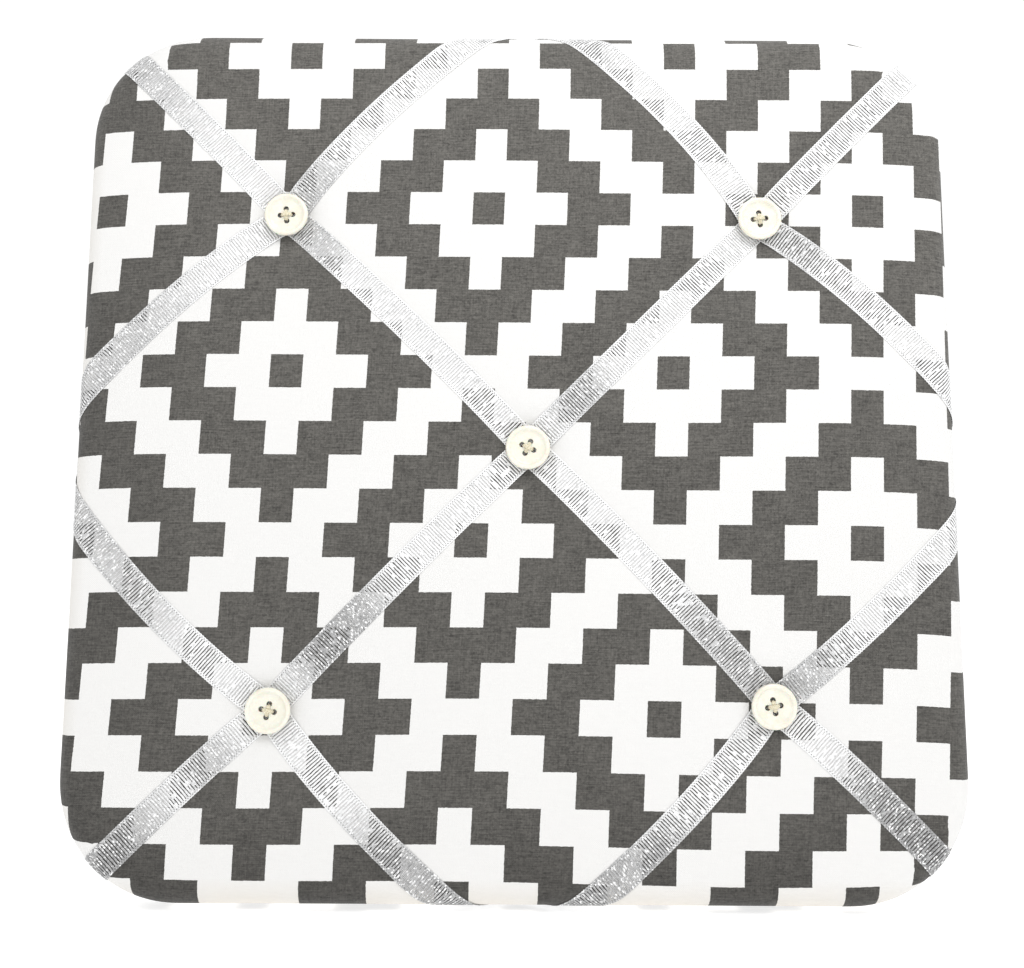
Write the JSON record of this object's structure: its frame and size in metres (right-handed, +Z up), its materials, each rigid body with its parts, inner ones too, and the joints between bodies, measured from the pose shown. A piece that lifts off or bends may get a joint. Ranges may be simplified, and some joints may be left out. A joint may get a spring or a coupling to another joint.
{
  "type": "memo board",
  "caption": "Square padded wall memo board in a geometric cotton print, with criss-crossed ribbons held by sewn buttons to tuck notes and photos under, and ring hangers on the back.",
  "frame": {"origin": "centre of the back lining's outer face, the face that lies against the wall", "axes": "+Z up as hung, +X to the viewer's right, +Y into the wall, the printed face looks towards -Y"},
  "size_m": [0.2998, 0.0249, 0.2998],
  "materials": {
    "printed_cotton": "woven cotton, charcoal stepped-diamond print on white",
    "ribbon": "ribbed semi-sheer ribbon with a silver thread",
    "button": "ivory polyester, polished",
    "sewing_thread": "cream cotton thread",
    "board": "raw fibreboard",
    "wadding": "soft polyester wadding",
    "greyboard": "grey card",
    "felt_lining": "charcoal felt",
    "steel": "zinc plated"
  },
  "bodies": {
    "board": {"backing_board": "board", "wadding": "wadding", "fabric_cover": "printed_cotton", "infill_card": "greyboard", "back_lining": "felt_lining", "ribbon_diagonal_a": "ribbon", "ribbon_diagonal_b": "ribbon", "ribbon_upper_left": "ribbon", "ribbon_upper_right": "ribbon", "ribbon_lower_left": "ribbon", "ribbon_lower_right": "ribbon", "button_upper_left": "button", "button_thread_upper_left": "sewing_thread", "thread_washer_upper_left": "greyboard", "button_upper_right": "button", "button_thread_upper_right": "sewing_thread", "thread_washer_upper_right": "greyboard", "button_centre": "button", "button_thread_centre": "sewing_thread", "thread_washer_centre": "greyboard", "button_lower_left": "button", "button_thread_lower_left": "sewing_thread", "thread_washer_lower_left": "greyboard", "button_lower_right": "button", "button_thread_lower_right": "sewing_thread", "thread_washer_lower_right": "greyboard", "staple_01": "steel", "staple_02": "steel", "staple_03": "steel", "staple_04": "steel", "staple_05": "steel", "staple_06": "steel", "staple_07": "steel", "staple_08": "steel", "staple_09": "steel", "staple_10": "steel", "staple_11": "steel", "staple_12": "steel", "staple_13": "steel", "staple_14": "steel", "staple_15": "steel", "staple_16": "steel", "staple_17": "steel", "staple_18": "steel", "staple_19": "steel", "staple_20": "steel", "hanger_strap_left": "steel", "hanger_screw_left_1": "steel", "hanger_screw_left_2": "steel", "hanger_strap_right": "steel", "hanger_screw_right_1": "steel", "hanger_screw_right_2": "steel"},
    "left_ring": {"d_ring_left": "steel"},
    "right_ring": {"d_ring_right": "steel"}
  },
  "joints": [
    {"name": "left_ring_swing", "type": "hinge", "parent": "board", "child": "left_ring", "pos_m": [-0.08, 0.00245, 0.048], "axis": [0, 0, 1], "range_deg": [0, 175]},
    {"name": "right_ring_swing", "type": "hinge", "parent": "board", "child": "right_ring", "pos_m": [0.08, 0.00245, 0.048], "axis": [0, 0, -1], "range_deg": [0, 175]}
  ]
}
